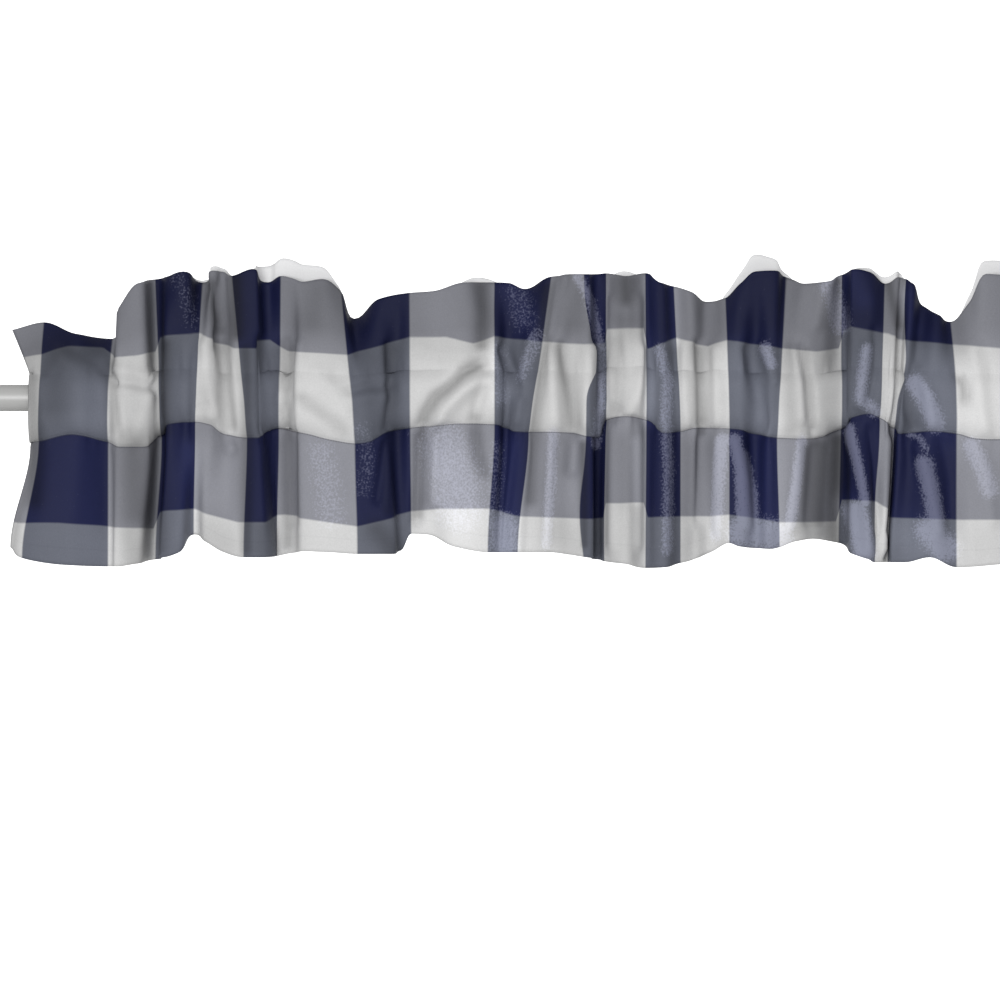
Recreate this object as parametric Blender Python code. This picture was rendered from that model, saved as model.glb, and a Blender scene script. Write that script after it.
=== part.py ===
"""Window valance: a checked cotton-look cloth gathered on a white round pole.

The face panel hangs in front of the pole from its top edge down to its hem. A plain white facing is sewn
behind it along two seams, above and below the pole, and the pole runs through the pocket between them.

World axes: +X runs along the pole to the right, -Y points into the room and +Z is up. The origin is the middle
of the pole's left end, and every piece is set half a pole to the right of it, so that the shapes below are
described from the middle of the valance. The cloth is described in millimetres and built in metres.
"""

from collections import namedtuple

import bmesh
import bpy
import numpy as np
from mathutils import Matrix

MM = 0.001

# Pole
POLE_RADIUS = 16.0
POLE_LENGTH = 1400.0
POLE_SIDES = 48
POLE_EDGE_BEVEL = 1.5

# Cloth
CHECK = 101.6  # side of one check of the pattern, four inches
CLOTH = 1.0  # thickness of one layer
HEM_CLOTH = 2.2  # thickness where the bottom is turned up behind
HEM_SHARE = 0.13  # how much of the skirt's height the turned-up hem takes
HEM_STEP = 0.03  # and the short way in which the cloth gets thin above it
LAYER_GAP = 0.9  # air between the face and the facing where they are sewn together
POLE_GAP = 0.5  # air between the cloth and the pole where the folds touch it
COLUMN_LENGTH = 12.0  # the longest step between two columns of the sheets, along the cloth
LEAST_DRIFT = 0.15  # the least sideways run of the cloth at a line, as a share of its pace
MOST_DRIFT = 3.2  # the most of it, as a share of the mean run to the next line

# Pocket and heading
UPPER_SEAM_Z = 31.0
SEAM_FOLLOW = 0.3  # how much of the lower seam's rise and fall the upper seam repeats
SEAM_PLANE = -10.0  # how far in front of the pole's axis a valley lies along the seams
SEAM_DEPTH = 0.82  # how much of the folds' depth is left where the seams hold them
SEAM_MEAN_Z = -42.0
TOP_SHARE_AT_SEAM = 0.4  # the upper seam's place between the top edge and the lower seam, sideways
SIDE_PINCH = 9.0  # how far the side edges are drawn in at the upper seam
FRONT_FULLNESS = 0.42  # how much of the folds' depth is left where the face rounds the pole
BACK_FULLNESS = 0.2  # and where the facing does
FACING_REACH = 0.0  # how far in front of the pole's axis the facing follows the face into its folds
FACING_FOLLOW = 0.1  # how much of a fold's depth it still follows from there on
DEEPEST_FOLD = 46.0
HEADING = 118.0  # flat height of the heading above the upper seam
LEAN_SHARE = 0.2  # how far a heading that stands low leans back, of what its flat height would allow
SKIRT_PLANE = -16.0
HEADING_PLANE = -18.0
HEADING_CURL = 1.4  # above 1, the folds of the heading change most near its top edge
FOLD_SQUARENESS = 1.3  # above 1, the crests of the folds are broad and the valleys narrow

# How the cloth hangs, one row for each line of a fold, from the left side edge to the right one.
# check counts the checks along the cloth, for a line that runs down the edge of one; the other lines lie
# between those by their share of the cloth. x is along the pole, out is how far the fold stands in front of the
# valleys' plane and z is the height, each in millimetres at the top edge, the lower seam and the hem.
Line = namedtuple("Line", "check top_x seam_x hem_x top_out seam_out hem_out top_z seam_z hem_z")
LINES = (
    Line(0.62, -628, -606, -631, 22, -8, -4, 82, -53, -179),
    Line(1, -589, -594, -614, 30, 26, 26, 91, -52, -192),
    Line(None, -550, -554, -563, 40, 43, 45, 77, -44, -200),
    Line(2, -508, -511, -511, 14, 19, 26, 72, -53, -202),
    Line(None, -498, -496, -499, 40, 43, 43, 108, -59, -202),
    Line(None, -475, -469, -478, 43, 38, 41, 137, -59, -199),
    Line(3, -456, -448, -456, 5, -5, -5, 143, -44, -194),
    Line(None, -439, -436, -444, 31, 36, 38, 146, -31, -191),
    Line(None, -420, -419, -427, 43, 26, 41, 151, -29, -186),
    Line(4, -399, -406, -409, 12, 43, 8, 139, -29, -164),
    Line(None, -386, -389, -395, 41, 45, 24, 152, -32, -172),
    Line(None, -374, -370, -372, 29, 24, 36, 151, -44, -185),
    Line(5, -362, -344, -348, 41, 43, 45, 146, -48, -191),
    Line(None, -338, -332, -329, 43, 43, 46, 154, -48, -191),
    Line(None, -320, -315, -310, 17, 5, 7, 139, -38, -190),
    Line(6, -304, -307, -310, 29, 2, 2, 146, -36, -190),
    Line(None, -290, -289, -290, 36, 5, 7, 143, -40, -186),
    Line(None, -277, -280, -277, 41, 34, 31, 139, -42, -184),
    Line(None, -254, -247, -245, 43, 43, 43, 142, -50, -185),
    Line(7, -232, -215, -212, 26, 41, 43, 128, -55, -187),
    Line(None, -217, -199, -194, 7, 38, 43, 96, -53, -187),
    Line(None, -187, -178, -170, 24, 26, 41, 119, -42, -187),
    Line(None, -166, -164, -160, 32, 7, 14, 124, -38, -183),
    Line(8, -150, -149, -148, 36, 18, 12, 126, -36, -163),
    Line(None, -122, -125, -128, 38, 19, 10, 128, -34, -164),
    Line(None, -85, -90, -97, 43, 36, 29, 138, -31, -178),
    Line(9, -48, -48, -56, 20, 41, 41, 139, -32, -185),
    Line(None, -30, -34, -41, 22, 16, 30, 138, -36, -185),
    Line(None, -12, -26, -37, 24, 29, 31, 131, -40, -185),
    Line(10, 20, -7, -20, 43, 41, 38, 145, -41, -185),
    Line(None, 29, 0, -8, 38, 34, 32, 146, -41, -185),
    Line(None, 38, 18, 17, 34, 45, 45, 148, -41, -185),
    Line(None, 48, 43, 43, 43, 31, 36, 148, -42, -188),
    Line(11, 59, 62, 62, 36, 41, 41, 148, -46, -191),
    Line(None, 77, 77, 77, 8, 2, 0, 149, -47, -194),
    Line(12, 86, 86, 84, 10, 12, 10, 150, -26, -196),
    Line(None, 110, 110, 109, 34, 36, 36, 146, -22, -199),
    Line(13, 133, 134, 133, 16, 18, 18, 150, -26, -204),
    Line(None, 151, 155, 155, 41, 41, 41, 138, -42, -203),
    Line(14, 167, 175, 175, 26, 18, 18, 134, -40, -198),
    Line(None, 186, 192, 192, 36, 24, 26, 128, -36, -193),
    Line(None, 206, 204, 209, 14, 15, 18, 116, -36, -186),
    Line(15, 229, 233, 233, 29, 41, 36, 120, -37, -174),
    Line(None, 245, 244, 245, 41, 45, 41, 136, -38, -178),
    Line(None, 265, 264, 265, 45, 14, 29, 151, -43, -180),
    Line(None, 287, 281, 282, 43, 43, 43, 152, -47, -181),
    Line(16, 302, 290, 293, 14, 38, 41, 145, -48, -179),
    Line(None, 323, 310, 312, 34, 45, 41, 137, -49, -172),
    Line(None, 348, 334, 334, 41, 24, 24, 139, -49, -169),
    Line(17, 369, 368, 366, 14, -2, -6, 148, -36, -174),
    Line(None, 384, 381, 380, 38, 32, 34, 154, -23, -187),
    Line(None, 403, 400, 398, 36, 45, 45, 150, -19, -193),
    Line(18, 420, 413, 407, 28, 36, 36, 137, -24, -197),
    Line(None, 436, 422, 416, 19, 32, 30, 145, -29, -197),
    Line(19, 446, 431, 424, 17, 12, 8, 143, -36, -197),
    Line(None, 455, 437, 429, 24, 34, 31, 137, -43, -197),
    Line(None, 466, 449, 443, 12, 26, 31, 112, -42, -197),
    Line(None, 485, 475, 473, 31, 46, 45, 100, -40, -191),
    Line(20, 500, 505, 505, 22, 36, 36, 92, -43, -203),
    Line(None, 521, 528, 528, 36, 46, 45, 114, -49, -202),
    Line(None, 540, 550, 550, 43, 41, 43, 148, -50, -200),
    Line(21, 590, 589, 592, 29, 26, 29, 142, -48, -197),
    Line(21.62, 632, 625, 634, -7, -8, -7, 134, -50, -190),
)

# Where the white facing stands up behind the face's top edge: from and to in checks, and by how much.
Rise = namedtuple("Rise", "start end height")
FACING_RISES = (
    Rise(3.55, 5.2, 6.0),
    Rise(5.2, 7.15, 22.0),
    Rise(8.5, 9.1, 6.0),
    Rise(12.1, 12.9, 6.0),
    Rise(14.9, 16.1, 21.0),
    Rise(17.3, 19.05, 8.0),
    Rise(20.1, 21.2, 18.0),
)
FACING_DROP = 5.0  # how far below the face's top edge the facing ends where it has no rise
RISE_SQUARENESS = 0.7  # below 1, the rises are squarer than a plain wave

# Rows of the sheets: 0 is the hem, 1 the lower seam, 2 the upper seam and 3 the top edge
FACE_ROWS = (0, HEM_SHARE, HEM_SHARE + HEM_STEP, 0.55, 1, 1.22, 1.5, 1.78, 2, 2.45, 3)
POCKET_ROWS = (1.22, 1.5, 1.78)
HEADING_ROWS = (2, 2.45)
SIDES = ("top", "seam", "hem")


def column(name):
    """One named column of the table, down the folds."""
    return np.array([getattr(line, name) for line in LINES], float)


def flat_lines():
    """Each line's place along the flat cloth, in checks: between two check edges it follows the fold's length."""
    across = [np.hypot(np.diff(column(side + "_x")), np.diff(column(side + "_out"))) for side in SIDES]
    length = np.concatenate(([0], np.cumsum(np.mean(across, axis=0))))
    edges = [index for index, line in enumerate(LINES) if line.check is not None]
    return np.interp(length, length[edges], [LINES[index].check for index in edges])


FLAT = flat_lines()


def gentle_slopes(places, values):
    """Slopes that pass through the values without overshooting, and lie level where they turn back."""
    steps = np.diff(places)
    rates = np.diff(values) / steps
    slopes = np.concatenate(([rates[0]], np.zeros(len(values) - 2), [rates[-1]]))
    before, after = rates[:-1], rates[1:]
    same_way = before * after > 0
    near, far = 2 * steps[1:] + steps[:-1], steps[1:] + 2 * steps[:-1]
    weighted = (near + far) / (near / np.where(same_way, before, 1) + far / np.where(same_way, after, 1))
    slopes[1:-1] = np.where(same_way, weighted, 0)
    return slopes


def smooth(places, values, slopes, at):
    """A cubic through the values with those slopes, read at the given places."""
    index = np.clip(np.searchsorted(places, at, side="right") - 1, 0, len(places) - 2)
    span = places[index + 1] - places[index]
    t = (at - places[index]) / span
    rise, hold = t * t * (3 - 2 * t), t * (1 - t)
    bend = span * hold * (slopes[index] * (1 - t) - slopes[index + 1] * t)
    return values[index] * (1 - rise) + values[index + 1] * rise + bend


def steady_slopes(x, out, out_slopes):
    """Sideways slopes with which the cloth runs at an even pace, so that crests and valleys come out round."""
    drifts = np.diff(x) / np.diff(FLAT)
    paces = np.hypot(np.diff(x), np.diff(out)) / np.diff(FLAT)
    pace = np.concatenate((paces[:1], (paces[:-1] + paces[1:]) / 2, paces[-1:]))
    steepest = MOST_DRIFT * np.minimum(np.append(drifts, drifts[-1]), np.insert(drifts, 0, drifts[0]))
    return np.minimum(np.sqrt(np.clip(pace**2 - out_slopes**2, (LEAST_DRIFT * pace) ** 2, None)), steepest)


def along_folds(x, out, z, at):
    """The hanging curve of one row, read at flat places along the cloth."""
    out_slopes = gentle_slopes(FLAT, out)
    return (
        smooth(FLAT, x, steady_slopes(x, out, out_slopes), at),
        smooth(FLAT, out, out_slopes, at),
        smooth(FLAT, z, gentle_slopes(FLAT, z), at),
    )


def upper_seam():
    """x, out and z of the fold lines where the heading is sewn off above the pole."""
    x, out, z = lower_seam()
    x = TOP_SHARE_AT_SEAM * column("top_x") + (1 - TOP_SHARE_AT_SEAM) * x
    x += SIDE_PINCH * (np.arange(len(x)) == 0) - SIDE_PINCH * (np.arange(len(x)) == len(x) - 1)
    return x, out, UPPER_SEAM_Z + SEAM_FOLLOW * (z - SEAM_MEAN_Z)


def lower_seam():
    """x, out and z of the fold lines where the cloth is sewn together below the pole."""
    return column("seam_x"), SEAM_DEPTH * column("seam_out") + SEAM_PLANE, column("seam_z")


def ease(t):
    """From 0 to 1 with a level start and end."""
    return t * t * (3 - 2 * t)


def skirt_row(row):
    """Below the lower seam the folds open towards the hem."""
    x, out, z = lower_seam()
    return (
        column("hem_x") + (x - column("hem_x")) * ease(row),
        column("hem_out") + SKIRT_PLANE + (out - column("hem_out") - SKIRT_PLANE) * row,
        column("hem_z") + (z - column("hem_z")) * row,
    )


def beside_pole(nearest, seam_radius, turn):
    """How far from the pole's axis the cloth passes beside it, so that its flat cells clear the round too."""
    reach = 2 * (POCKET_ROWS[2] - POCKET_ROWS[1])
    middle = np.full(len(turn), nearest)
    for _ in range(4):
        next_radius = middle + (seam_radius - middle) * ease(reach)
        along, across = next_radius * np.cos(turn * reach), next_radius * np.abs(np.sin(turn * reach))
        clearance = np.where(along < middle, middle * across / np.hypot(middle - along, across), middle)
        middle = middle * np.maximum(nearest / clearance, 1)
    return middle


def pocket_row(row, side):
    """Between the seams the cloth goes round the pole: side is 1 in front of it and -1 behind."""
    (low_x, low_out, low_z), (high_x, high_out, high_z) = lower_seam(), upper_seam()
    share = row - 1
    fold = np.clip(column("seam_out"), 0, DEEPEST_FOLD)
    depth = fold if side > 0 else DEEPEST_FOLD - fold
    fullness = FRONT_FULLNESS if side > 0 else BACK_FULLNESS
    nearest = POLE_RADIUS + POLE_GAP + (CLOTH if side > 0 else 0)
    if side < 0:
        low_out, high_out = not_so_deep(low_out), not_so_deep(high_out)
    low_radius, low_turn = np.hypot(low_out, low_z), np.arctan2(low_z, low_out * side)
    high_radius, high_turn = np.hypot(high_out, high_z), np.arctan2(high_z, high_out * side)
    middle = np.maximum(
        beside_pole(nearest, low_radius, low_turn),
        beside_pole(nearest, high_radius, high_turn),
    )
    middle += fullness * depth
    seam_radius, turn = (low_radius, low_turn) if share < 0.5 else (high_radius, high_turn)
    reach = abs(share - 0.5) * 2  # 0 beside the pole's axis and 1 at the seam
    angle = turn * reach
    radius = middle + (seam_radius - middle) * ease(reach)
    return low_x + (high_x - low_x) * share, side * radius * np.cos(angle), radius * np.sin(angle)


def heading_row(row):
    """Above the upper seam the doubled cloth stands up, and leans back where it stands low."""
    x, out, z = upper_seam()
    share = row - 2
    stands = column("top_z") - z
    lean = LEAN_SHARE * np.sqrt(np.clip(HEADING**2 - stands**2, 0, None))
    top_out = column("top_out") + HEADING_PLANE - lean
    return (
        x + (column("top_x") - x) * share,
        out + (top_out - out) * share**HEADING_CURL,
        z + stands * share,
    )


def face_row(row, at):
    """Points of the face's front side along one row, in millimetres."""
    if row < 1:
        lines = skirt_row(row)
    elif row <= 2:
        lines = pocket_row(row, 1)
    else:
        lines = heading_row(row)
    x, out, z = along_folds(*lines, at)
    return np.stack([x, -broad_crests(out, lines[1]), z], axis=1)


def broad_crests(out, lines_out):
    """Crests come out broader than valleys, within the same depth."""
    low, high = lines_out.min(), lines_out.max()
    depth = np.clip((high - out) / (high - low), 0, 1)
    return high - (high - low) * depth**FOLD_SQUARENESS


def not_so_deep(out):
    """The facing goes less far than the face into the folds that stand out."""
    return out - (1 - FACING_FOLLOW) * np.clip(out - FACING_REACH, 0, None)


def back_of(rows, at):
    """Points one layer and a gap behind the face, square to it, for rows that are sewn to the face."""
    across, up = 0.01, 0.01
    moved = []
    for row in rows:
        here = face_row(row, at)
        sideways = face_row(row, np.minimum(at + across, FLAT[-1])) - face_row(row, np.maximum(at - across, FLAT[0]))
        upwards = face_row(row + up, at) - face_row(row, at) if row >= 2 else np.array([[0, 0, 1.0]])
        square = np.cross(sideways, np.broadcast_to(upwards, sideways.shape))
        square /= np.linalg.norm(square, axis=1, keepdims=True)
        behind = here - square * (CLOTH + LAYER_GAP)
        behind[:, 1] = -not_so_deep(-behind[:, 1])
        moved.append(behind)
    return moved


def facing_rise(at):
    """How far the facing stands above the face's top edge: soft humps from the table."""
    height = np.full(len(at), -FACING_DROP)
    for rise in FACING_RISES:
        share = np.clip((at - rise.start) / (rise.end - rise.start), 0, 1)
        hump = (rise.height + FACING_DROP) * np.sin(np.pi * share) ** RISE_SQUARENESS - FACING_DROP
        height = np.maximum(height, hump)
    return height


def flat_places():
    """Flat places of the sheets' columns: each fold line, and even steps between them."""
    places = []
    for start, end in zip(FLAT[:-1], FLAT[1:]):
        steps = max(3, round((end - start) * CHECK / COLUMN_LENGTH))
        places.extend(np.linspace(start, end, steps, endpoint=False))
    return np.array(places + [FLAT[-1]])


def facing_rows(at):
    """The facing's rows: its sewn lower edge, the back of the pocket, the heading and the top edge."""
    rows = back_of((1,), at)
    for row in POCKET_ROWS:
        x, out, z = along_folds(*pocket_row(row, -1), at)
        rows.append(np.stack([x, -out, z], axis=1))
    rows.extend(back_of(HEADING_ROWS, at))
    edge = back_of((3,), at)[0]
    last = edge - rows[-1]
    height = np.linalg.norm(last, axis=1, keepdims=True)
    rows.append(edge + last / height * facing_rise(at)[:, None])
    return rows


def principled(name, colour, roughness):
    material = bpy.data.materials.new(name)
    material.use_nodes = True
    shader = material.node_tree.nodes["Principled BSDF"]
    shader.inputs["Base Color"].default_value = (*colour, 1)
    shader.inputs["Roughness"].default_value = roughness
    shader.inputs["Metallic"].default_value = 0
    return material


def add_object(name, mesh_edit, material):
    mesh = bpy.data.meshes.new(name)
    mesh_edit.to_mesh(mesh)
    mesh_edit.free()
    mesh.materials.append(material)
    mesh.shade_smooth()
    mesh.set_sharp_from_angle(angle=np.radians(50))
    made = bpy.data.objects.new(name, mesh)
    made.location.x = POLE_LENGTH / 2 * MM
    bpy.context.scene.collection.objects.link(made)
    return made


def hang_sheet(name, rows, material, thick, thin_share=1.0, thick_rows=0):
    """A flat grid of cloth taken to its hanging rows, and given its thickness towards the back.

    The first thick_rows rows keep the full thickness, the others thin_share of it."""
    cloth = bmesh.new()
    columns = len(rows[0])
    bmesh.ops.create_grid(cloth, x_segments=columns - 1, y_segments=len(rows) - 1, size=1)
    for vert in cloth.verts:
        across = round((vert.co.x + 1) / 2 * (columns - 1))
        up = round((vert.co.y + 1) / 2 * (len(rows) - 1))
        vert.index = up * columns + across
        vert.co = rows[up][across] * MM
    cloth.verts.sort()
    made = add_object(name, cloth, material)
    if thick_rows:
        group = made.vertex_groups.new(name="hem")
        group.add(list(range(thick_rows * columns)), 1, "REPLACE")
    solid = made.modifiers.new("thickness", "SOLIDIFY")
    solid.thickness = thick * MM
    solid.offset = -1
    if thick_rows:
        solid.vertex_group = "hem"
        solid.thickness_vertex_group = thin_share
    return made


def make_pole():
    """A turned round pole, painted, with its end edges eased."""
    pole = bmesh.new()
    bmesh.ops.create_cone(
        pole,
        cap_ends=True,
        segments=POLE_SIDES,
        radius1=POLE_RADIUS * MM,
        radius2=POLE_RADIUS * MM,
        depth=POLE_LENGTH * MM,
    )
    rims = [edge for edge in pole.edges if abs(edge.verts[0].co.z - edge.verts[1].co.z) < MM]
    bmesh.ops.bevel(
        pole,
        geom=rims,
        offset=POLE_EDGE_BEVEL * MM,
        segments=2,
        profile=0.5,
        affect="EDGES",
        material=-1,
    )
    bmesh.ops.rotate(pole, verts=pole.verts, matrix=Matrix.Rotation(np.pi / 2, 3, "Y"))
    return add_object("pole", pole, principled("white_paint", (0.72, 0.72, 0.71), 0.4))


def main():
    for found in list(bpy.data.objects):
        bpy.data.objects.remove(found)
    at = flat_places()
    hang_sheet(
        "face_panel",
        [face_row(row, at) for row in FACE_ROWS],
        principled("checked_cloth", (0.12, 0.13, 0.19), 0.6),
        HEM_CLOTH,
        thin_share=CLOTH / HEM_CLOTH,
        thick_rows=2,
    )
    hang_sheet("heading_facing", facing_rows(at[1:-1]), principled("white_cloth", (0.75, 0.75, 0.75), 0.7), CLOTH)
    make_pole()


main()
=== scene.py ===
"""Window valance in a buffalo check, gathered on a white pole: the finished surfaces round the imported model.

Lengths in the tables are millimetres: x along the pole from its middle, out towards the room, and z up from
the pole's axis. The points of creases and of light and shade are in the photograph's pixels instead.
"""

from collections import namedtuple

import bmesh
import bpy
import numpy as np
from mathutils import Matrix, Vector


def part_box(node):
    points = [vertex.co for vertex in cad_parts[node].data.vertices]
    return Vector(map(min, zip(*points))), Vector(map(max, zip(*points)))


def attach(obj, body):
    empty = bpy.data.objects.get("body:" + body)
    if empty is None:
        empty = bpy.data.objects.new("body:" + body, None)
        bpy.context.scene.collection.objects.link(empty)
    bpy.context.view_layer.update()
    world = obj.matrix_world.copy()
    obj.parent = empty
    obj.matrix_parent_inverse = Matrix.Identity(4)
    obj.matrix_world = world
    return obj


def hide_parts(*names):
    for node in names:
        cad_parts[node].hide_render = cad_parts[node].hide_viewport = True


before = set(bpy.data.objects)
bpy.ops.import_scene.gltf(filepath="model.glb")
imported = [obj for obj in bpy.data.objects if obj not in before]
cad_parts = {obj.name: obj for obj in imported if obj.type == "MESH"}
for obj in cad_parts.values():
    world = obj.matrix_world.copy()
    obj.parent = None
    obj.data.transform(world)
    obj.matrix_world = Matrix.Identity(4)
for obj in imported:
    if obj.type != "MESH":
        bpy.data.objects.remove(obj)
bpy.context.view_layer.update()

# Camera
# The photograph looks straight at the valance, with a long lens, 1.2 m wide at the pole.
MM = 0.001
POLE_LOW, POLE_HIGH = (np.array(corner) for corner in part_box("pole"))
MIDDLE = (POLE_LOW[0] + POLE_HIGH[0]) / 2
VIEW_WIDTH = 1.2
VIEW_DISTANCE = 8.0
VIEW_LEFT_OF_MIDDLE = 0.0414
VIEW_BELOW_POLE = 0.1224

camera_data = bpy.data.cameras.new("camera")
camera_data.lens = camera_data.sensor_width * VIEW_DISTANCE / VIEW_WIDTH
camera = bpy.data.objects.new("camera", camera_data)
camera.location = (MIDDLE - VIEW_LEFT_OF_MIDDLE, -VIEW_DISTANCE, -VIEW_BELOW_POLE)
camera.rotation_euler = (np.radians(90), 0, 0)
bpy.context.scene.collection.objects.link(camera)
bpy.context.scene.camera = camera


# Face panel
# One width of smooth cloth in navy, slate, grey and white checks, turned up behind as a hem. Two seams,
# above and below the pole, hold it gathered to little more than half its width.
POLE_RADIUS = (POLE_HIGH[2] - POLE_LOW[2]) / 2 / MM
CHECK = 101.6  # side of one check of the pattern, four inches
CLOTH = 0.6  # thickness of the finished cloth
SOLID_CLOTH = 1.0  # and of one layer in the solids
LAYER_GAP = 0.9  # air between the face and the facing where they are sewn together
POLE_GAP = 0.5  # air between the cloth and the pole where the folds touch it
LEAST_DRIFT = 0.15  # the least sideways run of the cloth at a line, as a share of its pace
MOST_DRIFT = 3.2  # the most of it, as a share of the mean run to the next line
UPPER_SEAM_Z = 31.0
SEAM_FOLLOW = 0.3  # how much of the lower seam's rise and fall the upper seam repeats
SEAM_PLANE = -10.0  # how far in front of the pole's axis a valley lies along the seams
SEAM_DEPTH = 0.82  # how much of the folds' depth is left where the seams hold them
SEAM_MEAN_Z = -42.0
TOP_SHARE_AT_SEAM = 0.4  # the upper seam's place between the top edge and the lower seam, sideways
SIDE_PINCH = 9.0  # how far the side edges are drawn in at the upper seam
FRONT_FULLNESS = 0.42  # how much of the folds' depth is left where the face rounds the pole
BACK_FULLNESS = 0.2  # and where the facing does
DEEPEST_FOLD = 46.0
HEADING = 118.0  # flat height of the heading above the upper seam
LEAN_SHARE = 0.2  # how far a low heading leans back, of what its flat height would allow
SKIRT_PLANE = -16.0
HEADING_PLANE = -18.0
HEADING_CURL = 1.4  # above 1, the folds of the heading change most near its top edge
FOLD_SQUARENESS = 1.3  # above 1, the crests of the folds are broad and the valleys narrow
FACING_REACH = 0.0  # how far in front of the pole's axis the facing follows the face into its folds
FACING_FOLLOW = 0.1  # how much of a fold's depth it still follows from there on
FLAT_CELL = 0.28  # the step between two rows of the solids' pocket
CLEARING_ROUNDS = 4  # steps in which the pocket is opened until it clears the pole
HEM_ROW = 0.13  # how much of the skirt's height the turned-up hem takes
HEM_TURN = 1.5  # how far behind the face its turned-up layer lies

# One row for each line of a fold, as in the solids: its check edge where it runs down one, then x, out and z
# at the top edge, the lower seam and the hem.
Line = namedtuple("Line", "check top_x seam_x hem_x top_out seam_out hem_out top_z seam_z hem_z")
LINES = (
    Line(0.62, -628, -606, -631, 22, -8, -4, 82, -53, -179),
    Line(1, -589, -594, -614, 30, 26, 26, 91, -52, -192),
    Line(None, -550, -554, -563, 40, 43, 45, 77, -44, -200),
    Line(2, -508, -511, -511, 14, 19, 26, 72, -53, -202),
    Line(None, -498, -496, -499, 40, 43, 43, 108, -59, -202),
    Line(None, -475, -469, -478, 43, 38, 41, 137, -59, -199),
    Line(3, -456, -448, -456, 5, -5, -5, 143, -44, -194),
    Line(None, -439, -436, -444, 31, 36, 38, 146, -31, -191),
    Line(None, -420, -419, -427, 43, 26, 41, 151, -29, -186),
    Line(4, -399, -406, -409, 12, 43, 8, 139, -29, -164),
    Line(None, -386, -389, -395, 41, 45, 24, 152, -32, -172),
    Line(None, -374, -370, -372, 29, 24, 36, 151, -44, -185),
    Line(5, -362, -344, -348, 41, 43, 45, 146, -48, -191),
    Line(None, -338, -332, -329, 43, 43, 46, 154, -48, -191),
    Line(None, -320, -315, -310, 17, 5, 7, 139, -38, -190),
    Line(6, -304, -307, -310, 29, 2, 2, 146, -36, -190),
    Line(None, -290, -289, -290, 36, 5, 7, 143, -40, -186),
    Line(None, -277, -280, -277, 41, 34, 31, 139, -42, -184),
    Line(None, -254, -247, -245, 43, 43, 43, 142, -50, -185),
    Line(7, -232, -215, -212, 26, 41, 43, 128, -55, -187),
    Line(None, -217, -199, -194, 7, 38, 43, 96, -53, -187),
    Line(None, -187, -178, -170, 24, 26, 41, 119, -42, -187),
    Line(None, -166, -164, -160, 32, 7, 14, 124, -38, -183),
    Line(8, -150, -149, -148, 36, 18, 12, 126, -36, -163),
    Line(None, -122, -125, -128, 38, 19, 10, 128, -34, -164),
    Line(None, -85, -90, -97, 43, 36, 29, 138, -31, -178),
    Line(9, -48, -48, -56, 20, 41, 41, 139, -32, -185),
    Line(None, -30, -34, -41, 22, 16, 30, 138, -36, -185),
    Line(None, -12, -26, -37, 24, 29, 31, 131, -40, -185),
    Line(10, 20, -7, -20, 43, 41, 38, 145, -41, -185),
    Line(None, 29, 0, -8, 38, 34, 32, 146, -41, -185),
    Line(None, 38, 18, 17, 34, 45, 45, 148, -41, -185),
    Line(None, 48, 43, 43, 43, 31, 36, 148, -42, -188),
    Line(11, 59, 62, 62, 36, 41, 41, 148, -46, -191),
    Line(None, 77, 77, 77, 8, 2, 0, 149, -47, -194),
    Line(12, 86, 86, 84, 10, 12, 10, 150, -26, -196),
    Line(None, 110, 110, 109, 34, 36, 36, 146, -22, -199),
    Line(13, 133, 134, 133, 16, 18, 18, 150, -26, -204),
    Line(None, 151, 155, 155, 41, 41, 41, 138, -42, -203),
    Line(14, 167, 175, 175, 26, 18, 18, 134, -40, -198),
    Line(None, 186, 192, 192, 36, 24, 26, 128, -36, -193),
    Line(None, 206, 204, 209, 14, 15, 18, 116, -36, -186),
    Line(15, 229, 233, 233, 29, 41, 36, 120, -37, -174),
    Line(None, 245, 244, 245, 41, 45, 41, 136, -38, -178),
    Line(None, 265, 264, 265, 45, 14, 29, 151, -43, -180),
    Line(None, 287, 281, 282, 43, 43, 43, 152, -47, -181),
    Line(16, 302, 290, 293, 14, 38, 41, 145, -48, -179),
    Line(None, 323, 310, 312, 34, 45, 41, 137, -49, -172),
    Line(None, 348, 334, 334, 41, 24, 24, 139, -49, -169),
    Line(17, 369, 368, 366, 14, -2, -6, 148, -36, -174),
    Line(None, 384, 381, 380, 38, 32, 34, 154, -23, -187),
    Line(None, 403, 400, 398, 36, 45, 45, 150, -19, -193),
    Line(18, 420, 413, 407, 28, 36, 36, 137, -24, -197),
    Line(None, 436, 422, 416, 19, 32, 30, 145, -29, -197),
    Line(19, 446, 431, 424, 17, 12, 8, 143, -36, -197),
    Line(None, 455, 437, 429, 24, 34, 31, 137, -43, -197),
    Line(None, 466, 449, 443, 12, 26, 31, 112, -42, -197),
    Line(None, 485, 475, 473, 31, 46, 45, 100, -40, -191),
    Line(20, 500, 505, 505, 22, 36, 36, 92, -43, -203),
    Line(None, 521, 528, 528, 36, 46, 45, 114, -49, -202),
    Line(None, 540, 550, 550, 43, 41, 43, 148, -50, -200),
    Line(21, 590, 589, 592, 29, 26, 29, 142, -48, -197),
    Line(21.62, 632, 625, 634, -7, -8, -7, 134, -50, -190),
)
SIDES = ("top", "seam", "hem")

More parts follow.
